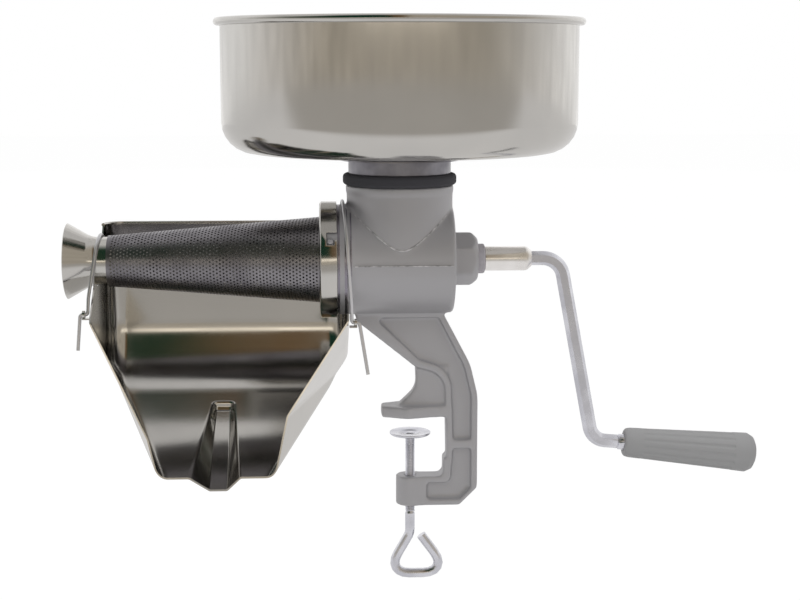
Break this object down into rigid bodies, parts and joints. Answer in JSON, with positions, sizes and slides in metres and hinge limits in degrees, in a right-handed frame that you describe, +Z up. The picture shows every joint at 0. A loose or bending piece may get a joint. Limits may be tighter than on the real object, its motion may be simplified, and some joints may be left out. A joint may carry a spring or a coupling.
{
  "type": "hand-cranked tomato strainer",
  "caption": "Table-clamped tomato strainer with a round hopper, crank-driven auger, tapered perforated screen, juice chute with spout, wire hooks and screw clamp.",
  "frame": {"origin": "where the clamp screw's axis meets the flat underside of the jaw", "axes": "+Z up, +X along the crank's axis towards the handle, -Y towards the open front of the juice chute"},
  "size_m": [0.4266, 0.2214, 0.3486],
  "materials": {
    "cast_alloy": "satin grey with a slight crinkle",
    "bush_plastic": "matt",
    "black_rubber": "matt",
    "stainless": "polished",
    "perforated_stainless": "polished, perforated all over",
    "wire_steel": "bright",
    "auger_plastic": "moulded",
    "nickel": "nickel plate",
    "zinc": "bright zinc plate",
    "grip_plastic": "matt grey, fluted"
  },
  "bodies": {
    "frame": {"body_casting": "cast_alloy", "shaft_bush": "bush_plastic", "shaft_seal": "black_rubber", "hopper_gasket": "black_rubber", "screen_gasket": "black_rubber", "screen_collar": "stainless", "cone_screen": "perforated_stainless", "waste_outlet": "stainless", "juice_chute": "stainless", "chute_ear_left": "stainless", "chute_ear_right": "stainless"},
    "hopper": {"hopper_bowl": "stainless", "hopper_neck": "stainless"},
    "crank": {"auger": "auger_plastic", "auger_shaft": "wire_steel", "thrust_washer": "wire_steel", "auger_spring": "wire_steel", "crank_sleeve": "nickel", "crank_arm": "zinc", "grip_ferrule": "zinc", "grip_retainer": "wire_steel"},
    "grip": {"crank_grip": "grip_plastic"},
    "pad": {"clamp_pad": "zinc"},
    "screw": {"clamp_screw": "zinc"},
    "hook_left": {"chute_hook_left": "wire_steel"},
    "hook_right": {"chute_hook_right": "wire_steel"}
  },
  "joints": [
    {"name": "crank_turn", "type": "hinge", "parent": "frame", "child": "crank", "pos_m": [0, 0, 0.098], "axis": [1, 0, 0], "continuous": true},
    {"name": "grip_spin", "type": "hinge", "parent": "crank", "child": "grip", "pos_m": [0.1345, 0, -0.019], "axis": [0.9952, 0, -0.0976], "continuous": true},
    {"name": "clamp_travel", "type": "slide", "parent": "frame", "child": "pad", "axis": [0, 0, 1], "range_m": [-0.0255, 0.0102]},
    {"name": "screw_turn", "type": "hinge", "parent": "pad", "child": "screw", "pos_m": [0, 0, -0.0121], "axis": [0, 0, 1], "range_deg": [-9180, 3672]},
    {"name": "hopper_lift", "type": "slide", "parent": "frame", "child": "hopper", "axis": [0, 0, 1], "range_m": [0, 0.05]},
    {"name": "hook_left_swing", "type": "hinge", "parent": "frame", "child": "hook_left", "pos_m": [-0.191, -0.03, 0.07], "axis": [1, 0, 0], "range_deg": [0, 95]},
    {"name": "hook_right_swing", "type": "hinge", "parent": "frame", "child": "hook_right", "pos_m": [-0.035, -0.031, 0.064], "axis": [1, 0, 0], "range_deg": [0, 60]}
  ],
  "couplings": [
    {"joint": "clamp_travel", "follows": "screw_turn", "m_per_rad": 0.00015915}
  ]
}
